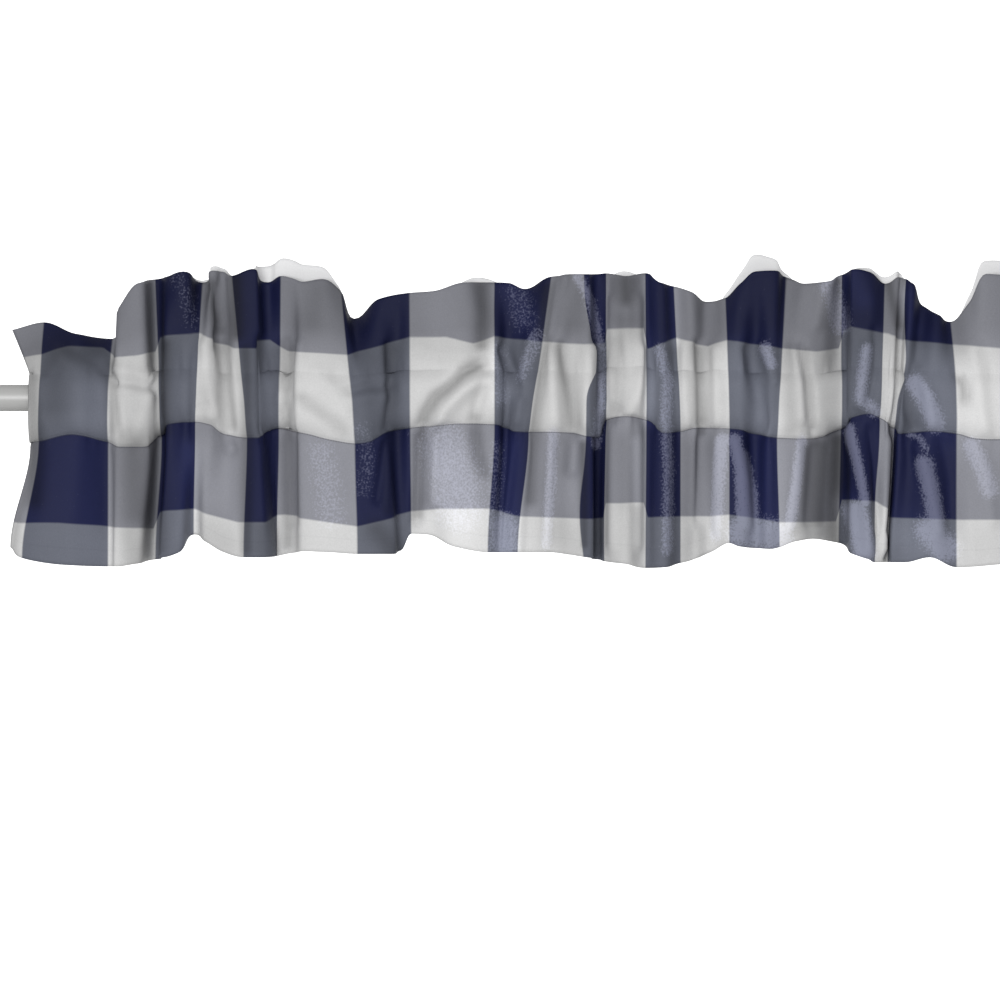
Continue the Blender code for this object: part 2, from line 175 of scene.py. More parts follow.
# Heights of the two check edges that no seam holds, with a row for each place along the cloth where one
# bends.
Weft = namedtuple("Weft", "check high_z low_z")
WEFTS = (
    Weft(0.62, 49, -149),
    Weft(1.0, 52, -150),
    Weft(1.4, 62, -150),
    Weft(1.9, 61, -153),
    Weft(2.1, 47, -155),
    Weft(2.99, 56, -157),
    Weft(3.01, 73, -137),
    Weft(4.0, 78, -133),
    Weft(4.9, 59, -149),
    Weft(5.32, 59, -149),
    Weft(5.42, 68, -149),
    Weft(5.85, 70, -142),
    Weft(6.1, 56, -140),
    Weft(7.0, 51, -154),
    Weft(8.0, 73, -136),
    Weft(8.4, 73, -133),
    Weft(8.72, 65, -133),
    Weft(9.0, 74, -133),
    Weft(10.0, 67, -142),
    Weft(11.0, 64, -145),
    Weft(11.97, 66, -144),
    Weft(12.03, 83, -126),
    Weft(12.97, 84, -126),
    Weft(13.03, 58, -143),
    Weft(14.0, 72, -142),
    Weft(14.6, 62, -142),
    Weft(15.0, 69, -140),
    Weft(16.0, 59, -149),
    Weft(16.5, 55, -149),
    Weft(16.99, 60, -148),
    Weft(17.01, 82, -122),
    Weft(17.4, 86, -122),
    Weft(18.0, 78, -124),
    Weft(18.6, 73, -134),
    Weft(19.0, 70, -143),
    Weft(20.0, 64, -146),
    Weft(20.8, 58, -146),
    Weft(21.62, 58, -146),
)
POCKET_SHARE = 0.7  # how much of the check above the lower seam lies on the pocket

# Where a fold drags a check edge sideways: the edge, how many checks, and the row and its reach.
Slip = namedtuple("Slip", "check shift row reach")
SLIPS = (
    Slip(11.0, 0.42, 2.15, 0.35),
    Slip(11.0, -0.12, 0.35, 0.4),
    Slip(19.0, 0.22, 2.1, 0.4),
)
SLIP_WIDTH = 0.5  # in checks along the cloth

# The main creases, as soft troughs and ridges along bent lines: half width and height in millimetres, below
# nought for a trough, and the line's points as they lie in the photograph.
PIXEL = 1.2  # millimetres at the pole
SEEN_MIDDLE = (534.5, 398)  # where the middle of the pole lies
Crease = namedtuple("Crease", "width height points")
CREASES = (
    Crease(16, 4, ((60, 345), (80, 380), (84, 430))),
    Crease(9, -3, ((74, 352), (96, 362), (110, 372))),
    Crease(7, 3, ((116, 370), (134, 372), (152, 377))),
    Crease(6, -4, ((116, 382), (134, 384), (152, 388))),
    Crease(6, -4.5, ((117, 386), (122, 405), (128, 436))),
    Crease(8, 3, ((150, 396), (144, 415), (138, 436))),
    Crease(8, -5, ((214, 290), (222, 318), (222, 345))),
    Crease(8, 4.5, ((206, 345), (208, 375), (214, 415))),
    Crease(7, -5, ((220, 335), (226, 380), (231, 430), (232, 450))),
    Crease(4, -2.5, ((200, 408), (208, 405), (214, 412))),
    Crease(5, -4, ((260, 340), (261, 400), (262, 440))),
    Crease(8, -5, ((287, 345), (286, 400), (288, 440), (290, 520))),
    Crease(6, 4, ((302, 345), (297, 385), (294, 425))),
    Crease(7, -3, ((306, 402), (322, 412), (343, 428))),
    Crease(10, 3, ((318, 372), (332, 390), (345, 412))),
    Crease(7, -4, ((352, 392), (370, 386), (390, 385))),
    Crease(8, 3.5, ((352, 400), (370, 397), (384, 398))),
    Crease(6, -5, ((389, 345), (392, 385), (388, 425), (378, 500))),
    Crease(7, -8, ((482, 362), (463, 373), (451, 385), (436, 397), (426, 413), (420, 435), (417, 520))),
    Crease(10, 9, ((486, 380), (468, 388), (456, 399), (444, 412), (437, 432), (434, 500))),
    Crease(9, 3, ((420, 352), (440, 356), (462, 356))),
    Crease(6, -5.5, ((487, 372), (480, 395), (474, 425), (479, 462))),
    Crease(10, -5, ((480, 285), (484, 310), (482, 342))),
    Crease(7, -5, ((503, 350), (512, 370), (520, 392))),
    Crease(7, 4, ((530, 335), (526, 365), (518, 420))),
    Crease(8, 5, ((549, 345), (553, 385), (556, 432))),
    Crease(8, -6, ((562, 348), (570, 385), (576, 430), (572, 470))),
    Crease(8, 5, ((590, 350), (588, 390), (586, 425))),
    Crease(5, 4, ((551, 440), (548, 490), (546, 545))),
    Crease(10, -3, ((625, 280), (626, 300))),
    Crease(6, 3, ((612, 300), (612, 430), (612, 545))),
    Crease(6, 3, ((639, 300), (639, 430), (639, 545))),
    Crease(8, 5, ((641, 350), (638, 385), (630, 415))),
    Crease(9, -4, ((616, 345), (620, 375), (614, 410))),
    Crease(7, 4, ((684, 345), (684, 400), (688, 430))),
    Crease(7, -6, ((699, 345), (700, 385), (701, 440), (697, 520))),
    Crease(8, 5, ((716, 350), (716, 400), (718, 440), (718, 530))),
    Crease(7, 4, ((763, 348), (770, 362), (774, 380))),
    Crease(9, -4, ((748, 350), (756, 385), (764, 425))),
    Crease(8, 4, ((734, 440), (744, 480), (748, 525))),
    Crease(8, 4, ((826, 283), (820, 300), (816, 325))),
    Crease(6, -5, ((800, 348), (806, 380), (810, 422), (814, 430))),
    Crease(6, 4, ((794, 350), (799, 385), (800, 420))),
    Crease(4, -3, ((796, 424), (804, 429), (812, 434))),
    Crease(8, 5, ((797, 440), (794, 480), (788, 530))),
    Crease(8, -5, ((815, 440), (812, 480), (808, 520))),
    Crease(7, 5, ((866, 345), (862, 375), (858, 405))),
    Crease(6, -4, ((874, 330), (874, 370), (868, 400))),
    Crease(7, 5, ((850, 428), (858, 465), (866, 510), (868, 550))),
    Crease(6, -5, ((868, 430), (874, 470), (878, 530))),
    Crease(5, 4, ((886, 440), (884, 500), (883, 550))),
    Crease(8, 5, ((918, 372), (926, 395), (932, 425))),
    Crease(7, -4, ((903, 380), (905, 410), (915, 432))),
    Crease(8, 5, ((916, 446), (928, 480), (938, 530))),
    Crease(8, -4, ((940, 440), (948, 480), (950, 530))),
    Crease(5, -4.5, ((957, 376), (964, 386), (964, 402))),
    Crease(9, 4, ((972, 350), (978, 390), (982, 430))),
    Crease(9, 4, ((974, 445), (984, 475), (990, 520))),
)

# Painted light and shade laid into the cloth's own colour as soft strokes: painted sheen where it gleams,
# painted shade where the folds keep the light off, and painted light where it is lighter. Half width in
# millimetres, strength, and the stroke's points.
Stroke = namedtuple("Stroke", "width strength points")
GLEAMS = (
    Stroke(13, 0.33, ((178, 280), (188, 296), (192, 320))),
    Stroke(22, 0.45, ((322, 455), (328, 485), (330, 515))),
    Stroke(14, 0.34, ((362, 430), (368, 455), (364, 490))),
    Stroke(36, 0.62, ((444, 448), (456, 480), (460, 508))),
    Stroke(12, 0.42, ((497, 448), (494, 512))),
    Stroke(20, 0.37, ((518, 292), (524, 318))),
    Stroke(10, 0.55, ((537, 335), (531, 352), (520, 376))),
    Stroke(8, 0.75, ((578, 278), (590, 300), (600, 345), (600, 400), (596, 445))),
    Stroke(8, 0.72, ((553, 432), (551, 480), (546, 545))),
    Stroke(12, 0.4, ((498, 350), (500, 400))),
    Stroke(9, 0.66, ((659, 350), (667, 380), (665, 420), (668, 470), (667, 550))),
    Stroke(9, 0.85, ((722, 440), (719, 480), (716, 535))),
    Stroke(9, 1.0, ((734, 440), (740, 470), (742, 522))),
    Stroke(12, 1.0, ((740, 458), (748, 492), (750, 525))),
    Stroke(9, 0.8, ((765, 348), (770, 364))),
    Stroke(8, 0.9, ((801, 440), (796, 480), (789, 525))),
    Stroke(15, 0.7, ((828, 284), (834, 300), (840, 325))),
    Stroke(9, 0.8, ((866, 350), (861, 380), (859, 398), (874, 412))),
    Stroke(7, 1.0, ((849, 428), (856, 460), (864, 502))),
    Stroke(15, 1.0, ((855, 512), (864, 552))),
    Stroke(13, 0.95, ((914, 384), (924, 400), (934, 424))),
    Stroke(4, 0.8, ((908, 435), (919, 438), (926, 450))),
    Stroke(12, 1.0, ((923, 464), (929, 488), (935, 520), (938, 552))),
    Stroke(13, 0.78, ((970, 446), (980, 466), (988, 490))),
    Stroke(22, 0.9, ((742, 532), (776, 536))),
    Stroke(20, 0.82, ((504, 526), (504, 546))),
    Stroke(20, 0.88, ((928, 530), (944, 548))),
)
# Painted shade where the folds keep the light off.
SHADES = (
    Stroke(28, 0.5, ((134, 446), (136, 480), (138, 512))),
    Stroke(30, 0.36, ((62, 354), (56, 405))),
    Stroke(13, 0.5, ((34, 380), (38, 430), (36, 500))),
    Stroke(22, 0.2, ((136, 385), (134, 425))),
    Stroke(10, 0.42, ((112, 366), (116, 428))),
    Stroke(18, 0.4, ((62, 352), (48, 372))),
    Stroke(9, 0.58, ((166, 345), (165, 432))),
    Stroke(8, 0.3, ((164, 445), (163, 548))),
    Stroke(18, 0.34, ((132, 532), (136, 560))),
    Stroke(24, 0.18, ((212, 532), (226, 546))),
    Stroke(26, 0.18, ((562, 530), (576, 545))),
    Stroke(18, 0.14, ((625, 512), (625, 555))),
    Stroke(9, 0.45, ((212, 285), (214, 305), (218, 330))),
    Stroke(8, 0.3, ((222, 345), (228, 385), (234, 425))),
    Stroke(20, 0.16, ((208, 395), (210, 425))),
    Stroke(9, 0.62, ((236, 280), (238, 335))),
    Stroke(9, 0.48, ((246, 352), (248, 390), (248, 440), (247, 550))),
    Stroke(12, 0.22, ((262, 528), (262, 550))),
    Stroke(7, 0.34, ((289, 350), (288, 400), (288, 450), (288, 545))),
    Stroke(20, 0.25, ((320, 290), (312, 320))),
    Stroke(8, 0.2, ((302, 398), (322, 412), (345, 432))),
    Stroke(20, 0.2, ((370, 362), (374, 425))),
    Stroke(16, 0.4, ((378, 530), (392, 548))),
    Stroke(11, 0.34, ((392, 350), (393, 430), (390, 510))),
    Stroke(6, 0.44, ((478, 366), (463, 374), (451, 385), (437, 397), (427, 413), (421, 435), (418, 515))),
    Stroke(9, 0.48, ((484, 288), (485, 315), (482, 345))),
    Stroke(9, 0.34, ((476, 420), (478, 450), (484, 472))),
    Stroke(7, 0.4, ((546, 288), (541, 336))),
    Stroke(9, 0.42, ((546, 346), (540, 385), (534, 432), (530, 500))),
    Stroke(8, 0.36, ((560, 348), (568, 385), (575, 432))),
    Stroke(16, 0.2, ((582, 290), (574, 325))),
    Stroke(6, 0.5, ((583, 445), (584, 545))),
    Stroke(11, 0.55, ((625, 282), (626, 298))),
    Stroke(12, 0.2, ((622, 320), (616, 360), (614, 415))),
    Stroke(18, 0.2, ((625, 445), (625, 505))),
    Stroke(6, 0.4, ((700, 350), (700, 390), (702, 432))),
    Stroke(20, 0.25, ((690, 450), (688, 515))),
    Stroke(20, 0.22, ((690, 532), (684, 552))),
    Stroke(10, 0.26, ((788, 350), (790, 430))),
    Stroke(7, 0.3, ((805, 352), (809, 390), (812, 424))),
    Stroke(15, 0.58, ((822, 448), (819, 480), (816, 518))),
    Stroke(14, 0.72, ((838, 440), (836, 500), (838, 545))),
    Stroke(18, 0.22, ((830, 360), (828, 425))),
    Stroke(18, 0.24, ((803, 530), (830, 528))),
    Stroke(7, 0.45, ((888, 280), (892, 300), (898, 325))),
    Stroke(9, 0.26, ((904, 375), (908, 425))),
    Stroke(6, 0.3, ((960, 380), (964, 398))),
)
# Painted light where the cloth is lighter.
LIGHTER = (
    Stroke(20, 0.6, ((512, 290), (526, 322))),
    Stroke(22, 0.16, ((440, 288), (444, 322))),
    Stroke(28, 0.2, ((92, 392), (92, 550))),
    Stroke(12, 0.4, ((188, 450), (190, 535))),
    Stroke(14, 0.35, ((270, 275), (272, 335))),
    Stroke(44, 0.22, ((440, 478), (456, 532))),
    Stroke(12, 0.35, ((498, 350), (502, 395))),
    Stroke(15, 0.5, ((512, 446), (508, 545))),
    Stroke(12, 0.6, ((590, 262), (602, 328))),
    Stroke(8, 0.5, ((650, 280), (652, 340), (649, 420))),
    Stroke(9, 0.55, ((672, 275), (674, 340))),
    Stroke(7, 0.35, ((636, 442), (637, 500))),
    Stroke(22, 0.3, ((742, 352), (752, 400), (760, 430))),
    Stroke(20, 0.35, ((764, 450), (768, 515))),
    Stroke(14, 0.5, ((852, 276), (862, 300))),
    Stroke(16, 0.35, ((848, 505), (852, 548))),
    Stroke(12, 0.6, ((908, 295), (914, 330))),
    Stroke(26, 0.3, ((930, 352), (942, 430))),
    Stroke(26, 0.36, ((902, 532), (918, 546))),
    Stroke(50, 0.16, ((980, 290), (980, 420))),
)
RELIEF = 1.35  # how far all creases are deepened together


def column(name):
    """One named column of the table, down the folds."""
    return np.array([getattr(line, name) for line in LINES], float)


def flat_lines():
    """Each line's place along the flat cloth, in checks, by the folds' length between two check edges."""
    across = [np.hypot(np.diff(column(side + "_x")), np.diff(column(side + "_out"))) for side in SIDES]
    length = np.concatenate(([0], np.cumsum(np.mean(across, axis=0))))
    edges = [index for index, line in enumerate(LINES) if line.check is not None]
    return np.interp(length, length[edges], [LINES[index].check for index in edges])


FLAT = flat_lines()


def gentle_slopes(places, values):
    """Slopes that pass through the values without overshooting, and lie level where they turn back."""
    steps = np.diff(places)
    rates = np.diff(values) / steps
    slopes = np.concatenate(([rates[0]], np.zeros(len(values) - 2), [rates[-1]]))
    before, after = rates[:-1], rates[1:]
    same_way = before * after > 0
    near, far = 2 * steps[1:] + steps[:-1], steps[1:] + 2 * steps[:-1]
    weighted = (near + far) / (near / np.where(same_way, before, 1) + far / np.where(same_way, after, 1))
    slopes[1:-1] = np.where(same_way, weighted, 0)
    return slopes


def smooth(places, values, slopes, at):
    """A cubic through the values with those slopes, read at the given places."""
    index = np.clip(np.searchsorted(places, at, side="right") - 1, 0, len(places) - 2)
    span = places[index + 1] - places[index]
    t = (at - places[index]) / span
    rise, hold = t * t * (3 - 2 * t), t * (1 - t)
    bend = span * hold * (slopes[index] * (1 - t) - slopes[index + 1] * t)
    return values[index] * (1 - rise) + values[index + 1] * rise + bend


def steady_slopes(x, out, out_slopes):
    """Sideways slopes with which the cloth runs at an even pace, so that crests and valleys are round."""
    drifts = np.diff(x) / np.diff(FLAT)
    paces = np.hypot(np.diff(x), np.diff(out)) / np.diff(FLAT)
    pace = np.concatenate((paces[:1], (paces[:-1] + paces[1:]) / 2, paces[-1:]))
    steepest = MOST_DRIFT * np.minimum(np.append(drifts, drifts[-1]), np.insert(drifts, 0, drifts[0]))
    return np.minimum(np.sqrt(np.clip(pace**2 - out_slopes**2, (LEAST_DRIFT * pace) ** 2, None)), steepest)


def along_folds(x, out, z, at):
    """The hanging curve of one row, read at flat places along the cloth."""
    out_slopes = gentle_slopes(FLAT, out)
    along = smooth(FLAT, x, steady_slopes(x, out, out_slopes), at)
    forward = smooth(FLAT, out, out_slopes, at)
    up = smooth(FLAT, z, gentle_slopes(FLAT, z), at)
    return np.stack([along, -forward, up], axis=1)


def lower_seam():
    return column("seam_x"), SEAM_DEPTH * column("seam_out") + SEAM_PLANE, column("seam_z")


def upper_seam():
    x, out, z = lower_seam()
    x = TOP_SHARE_AT_SEAM * column("top_x") + (1 - TOP_SHARE_AT_SEAM) * x
    x += SIDE_PINCH * (np.arange(len(x)) == 0) - SIDE_PINCH * (np.arange(len(x)) == len(x) - 1)
    return x, out, UPPER_SEAM_Z + SEAM_FOLLOW * (z - SEAM_MEAN_Z)


def ease(t):
    return t * t * (3 - 2 * t)


def skirt_row(row):
    """Below the lower seam the folds open towards the hem."""
    x, out, z = lower_seam()
    return (
        column("hem_x") + (x - column("hem_x")) * ease(row),
        column("hem_out") + SKIRT_PLANE + (out - column("hem_out") - SKIRT_PLANE) * row,
        column("hem_z") + (z - column("hem_z")) * row,
    )


def not_so_deep(out):
    """The facing goes less far than the face into the folds that stand out."""
    return out - (1 - FACING_FOLLOW) * np.clip(out - FACING_REACH, 0, None)


def beside_pole(nearest, seam_radius, turn):
    """How far from the pole's axis the cloth passes beside it."""
    reach = 2 * FLAT_CELL
    middle = np.full(len(turn), nearest)
    for _ in range(CLEARING_ROUNDS):
        next_radius = middle + (seam_radius - middle) * ease(reach)
        along, across = next_radius * np.cos(turn * reach), next_radius * np.abs(np.sin(turn * reach))
        clearance = np.where(along < middle, middle * across / np.hypot(middle - along, across), middle)
        middle = middle * np.maximum(nearest / clearance, 1)
    return middle


def pocket_row(row, side):
    """Between the seams the cloth goes round the pole: side is 1 in front of it and -1 behind."""
    (low_x, low_out, low_z), (high_x, high_out, high_z) = lower_seam(), upper_seam()
    share = row - 1
    fold = np.clip(column("seam_out"), 0, DEEPEST_FOLD)
    depth = fold if side > 0 else DEEPEST_FOLD - fold
    fullness = FRONT_FULLNESS if side > 0 else BACK_FULLNESS
    nearest = POLE_RADIUS + POLE_GAP + (SOLID_CLOTH if side > 0 else 0)
    if side < 0:
        low_out, high_out = not_so_deep(low_out), not_so_deep(high_out)
    low_radius, low_turn = np.hypot(low_out, low_z), np.arctan2(low_z, low_out * side)
    high_radius, high_turn = np.hypot(high_out, high_z), np.arctan2(high_z, high_out * side)
    low_middle = beside_pole(nearest, low_radius, low_turn)
    high_middle = beside_pole(nearest, high_radius, high_turn)
    middle = np.maximum(low_middle, high_middle) + fullness * depth
    seam_radius, turn = (low_radius, low_turn) if share < 0.5 else (high_radius, high_turn)
    reach = abs(share - 0.5) * 2
    angle = turn * reach
    radius = middle + (seam_radius - middle) * ease(reach)
    return low_x + (high_x - low_x) * share, side * radius * np.cos(angle), radius * np.sin(angle)


def heading_row(row):
    """Above the upper seam the doubled cloth stands up, and leans back where it stands low."""
    x, out, z = upper_seam()
    share = row - 2
    stands = column("top_z") - z
    lean = LEAN_SHARE * np.sqrt(np.clip(HEADING**2 - stands**2, 0, None))
    top_out = column("top_out") + HEADING_PLANE - lean
    return x + (column("top_x") - x) * share, out + (top_out - out) * share**HEADING_CURL, z + stands * share


def face_row(row, at):
    """Points of the face's front side along one row: 0 is the hem, 1 and 2 the seams and 3 the top edge."""
    if row < 1:
        lines = skirt_row(row)
    elif row <= 2:
        lines = pocket_row(row, 1)
    else:
        lines = heading_row(row)
    points = along_folds(*lines, at)
    points[:, 1] = -broad_crests(-points[:, 1], lines[1])
    return points


def broad_crests(out, lines_out):
    """Crests come out broader than valleys, within the same depth."""
    low, high = lines_out.min(), lines_out.max()
    depth = np.clip((high - out) / (high - low), 0, 1)
    return high - (high - low) * depth**FOLD_SQUARENESS


def square_to(grid):
    """Unit normals of a grid of points, towards the room."""
    along = np.gradient(grid, axis=1)
    up = np.gradient(grid, axis=0)
    normal = np.cross(along, up)
    return normal / np.linalg.norm(normal, axis=2, keepdims=True)


OUTWARD_SHARES = (0.5, 1, 0.15)  # along the pole, out and up


def outwards(grid):
    """The same, turned towards the room, so that creases beside each other never cross."""
    normal = square_to(grid) * OUTWARD_SHARES
    return normal / np.linalg.norm(normal, axis=2, keepdims=True)


def distance_to(points, grid):
    """Distance in millimetres, as seen from the room, of each point of a grid to a bent line."""
    line = (np.array(points, float) - SEEN_MIDDLE) * (PIXEL, -PIXEL)
    seen = grid[..., (0, 2)]
    nearest = np.full(grid.shape[:2], np.inf)
    for start, end in zip(line[:-1], line[1:]):
        run = end - start
        share = np.clip((seen - start) @ run / (run @ run), 0, 1)
        nearest = np.minimum(nearest, np.linalg.norm(seen - start - share[..., None] * run, axis=2))
    return nearest


def crease_heights(grid):
    """How far the creases lift or sink each point of a grid."""
    height = np.zeros(grid.shape[:2])
    for crease in CREASES:
        height += RELIEF * crease.height * np.exp(-((distance_to(crease.points, grid) / crease.width) ** 2))
    return height


def patches(marks, grid, firmness):
    """How strong a table's strokes of painted light or shade are at each point of a grid."""
    strength = np.zeros(grid.shape[:2])
    for mark in marks:
        fade = np.exp(-((distance_to(mark.points, grid) / mark.width) ** firmness))
        strength = np.maximum(strength, mark.strength * fade)
    return strength


def ripples(places, waves):
    """A wave along the cloth that never repeats evenly, from (waves a check, height, phase) rows."""
    return sum(height * np.sin(2 * np.pi * count * places + phase) for count, height, phase in waves)


# Waves along the cloth for the small gathers at the seams and for its unevenness, and for each seam how many
# millimetres of cloth a row takes below it and above it.
PUCKERS = ((7.3, 0.35, 0.4), (10.7, 0.25, 2.1), (4.1, 0.5, 4.0))
PUCKER_REACH = 15.0
SEAM_SPANS = ((1, 150, 90), (2, 90, 118))
DRIFTS = ((0.83, 1.4, 1.0), (1.57, 1.0, 3.3), (2.9, 0.5, 5.1))
DRIFT_PACE, DRIFT_PHASE, DRIFT_SHARE = 2.4, 0.7, 0.6


def seam_puckers(rows, places):
    """Small gathers on both sides of each seam, which die away from it."""
    reach = np.zeros(len(rows))
    for seam, below, above in SEAM_SPANS:
        away = rows - seam
        distance = np.where(away < 0, -away * below, away * above)
        reach += np.exp(-((distance / PUCKER_REACH) ** 2))
    return reach[:, None] * ripples(places, PUCKERS)[None, :]


def even_places(longest, fewest):
    """Flat places of a sheet's columns: each fold line, and even steps between them."""
    places = []
    for start, end in zip(FLAT[:-1], FLAT[1:]):
        steps = max(fewest, round((end - start) * CHECK / longest))
        places.extend(np.linspace(start, end, steps, endpoint=False))
    return np.array(places + [FLAT[-1]])


def weft_count(rows, places):
    """The pattern's place up the cloth, in checks, for each point of the face."""
    high = np.interp(places, [weft.check for weft in WEFTS], [weft.high_z for weft in WEFTS])
    low = np.interp(places, [weft.check for weft in WEFTS], [weft.low_z for weft in WEFTS])
    hem, seam, upper, top = (face_row(row, places)[:, 2] for row in (0, 1, 2, 3))
    counts = np.empty((len(rows), len(places)))
    for index in range(len(places)):
        low_row = (low[index] - hem[index]) / (seam[index] - hem[index])
        high_row = 2 + (high[index] - upper[index]) / (top[index] - upper[index])
        below = 1 - (low[index] - hem[index]) / CHECK
        above = 3 + (top[index] - high[index]) / CHECK
        known = (0, low_row, 1, 2, high_row, 3)
        counts[:, index] = np.interp(rows, known, (below, 1, 2, 2 + POCKET_SHARE, 3, above))
    return counts


def warp_count(rows, places):
    """The pattern's place along the cloth, in checks, for each point of the face."""
    counts = places[None, :] + 0 * rows[:, None]
    for slip in SLIPS:
        along = np.exp(-(((places - slip.check) / SLIP_WIDTH) ** 2))
        up = np.exp(-(((rows - slip.row) / slip.reach) ** 2))
        counts -= slip.shift * up[:, None] * along[None, :]
    return counts


def cloth_piece(name, grid, across_counts, counts, rows, gleam, shade):
    """A sheet of cloth on a grid of points in millimetres, with its pattern's place as its UV map."""
    sheet = bmesh.new()
    rows_here, columns = grid.shape[:2]
    bmesh.ops.create_grid(sheet, x_segments=columns - 1, y_segments=rows_here - 1, size=1)
    pattern = sheet.loops.layers.uv.new("pattern")
    row_layer = sheet.verts.layers.float.new("row")
    gleam_layer = sheet.verts.layers.float.new("gleam")
    shade_layer = sheet.verts.layers.float.new("shade")
    for vert in sheet.verts:
        across = round((vert.co.x + 1) / 2 * (columns - 1))
        up = round((vert.co.y + 1) / 2 * (rows_here - 1))
        vert.co = grid[up, across] * MM
        vert.co.x += MIDDLE
        vert[row_layer] = rows[up]
        vert[gleam_layer] = gleam[up, across]
        vert[shade_layer] = shade[up, across]
        for loop in vert.link_loops:
            loop[pattern].uv = (across_counts[up, across], counts[up, across])
    mesh = bpy.data.meshes.new(name)
    sheet.to_mesh(mesh)
    sheet.free()
    mesh.shade_smooth()
    piece = bpy.data.objects.new(name, mesh)
    bpy.context.scene.collection.objects.link(piece)
    solid = piece.modifiers.new("thickness", "SOLIDIFY")
    solid.thickness = CLOTH * MM
    solid.offset = -1
    return piece


class Value:
    """A number, colour or vector that varies over a surface; arithmetic on it adds Math nodes."""

    def __init__(self, tree, socket=None):
        self.tree = tree
        self.socket = socket

    def node(self, kind, settings, inputs, output=0):
        made = self.tree.nodes.new(kind)
        for name, value in settings.items():
            setattr(made, name, value)
        for name, value in inputs.items():
            if isinstance(value, Value):
                self.tree.links.new(value.socket, made.inputs[name])
            else:
                made.inputs[name].default_value = value
        return Value(self.tree, made.outputs[output])

    def math(self, operation, *others):
        return self.node("ShaderNodeMath", {"operation": operation}, dict(enumerate((self, *others))))

    def mix(self, share, first, second, blend="MIX"):
        settings = {"data_type": "RGBA", "blend_type": blend}
        return self.node("ShaderNodeMix", settings, {0: share, 6: first, 7: second}, 2)

    def __add__(self, other):
        return self.math("ADD", other)

    def __sub__(self, other):
        return self.math("SUBTRACT", other)

    def __rsub__(self, other):
        return self * -1 + other

    def __mul__(self, other):
        return self.math("MULTIPLY", other)

    __radd__ = __add__
    __rmul__ = __mul__


def new_material(name, settings):
    """A material, its shader with those constant sockets set, and a Value to build its pattern from."""
    material = bpy.data.materials.new(name)
    material.use_nodes = True
    shader = material.node_tree.nodes["Principled BSDF"]
    for socket, value in settings.items():
        shader.inputs[socket].default_value = value
    return material, shader, Value(material.node_tree)


def colour(red, green, blue):
    """A colour as read off a surface, 0 to 255, as the light it gives back."""
    shares = np.array([red, green, blue]) / 255
    return (*np.where(shares > 0.04045, ((shares + 0.055) / 1.055) ** 2.4, shares / 12.92), 1)


NAVY = colour(23, 27, 59)
SLATE = colour(92, 95, 105)
GREY = colour(128, 129, 136)
WHITE = colour(190, 190, 190)
# Dark stitching thread, which at the lower seam also serves as painted shade in the seam's pinch.
THREAD_AND_SEAM_SHADE = colour(24, 26, 44)
# Painted sheen: the bluish light that a full gleam stroke adds to the colour.
GLEAM = (0.1, 0.104, 0.138, 1)  # what a full gleam adds to the colour
CHECK_EDGE = 14  # how sharply one check ends at the next
THREADS = 150  # in a check
# Painted shade: the upper half of the heading is darkened.
HEADING_SHADE = 0.3  # how much darker the upper half of the heading is
# The lower seam's stitch line is strong, as it also stands for painted shade in the seam's pinch.
SEWN_ROWS = ((HEM_ROW, 0.04), (1.0, 0.55))  # the stitched rows, and how strongly the thread shows
SEAM_LINE = 0.007  # half height of a line of stitches, in rows
STITCHES = 36  # in a check
STITCH_SHARE = 0.72  # how much of its pitch a stitch takes


def woven(across, up, threads):
    """Relief of a plain weave of that many threads a check, over and under in turn."""
    return (across * (np.pi * threads)).math("SINE") * (up * (np.pi * threads)).math("SINE")


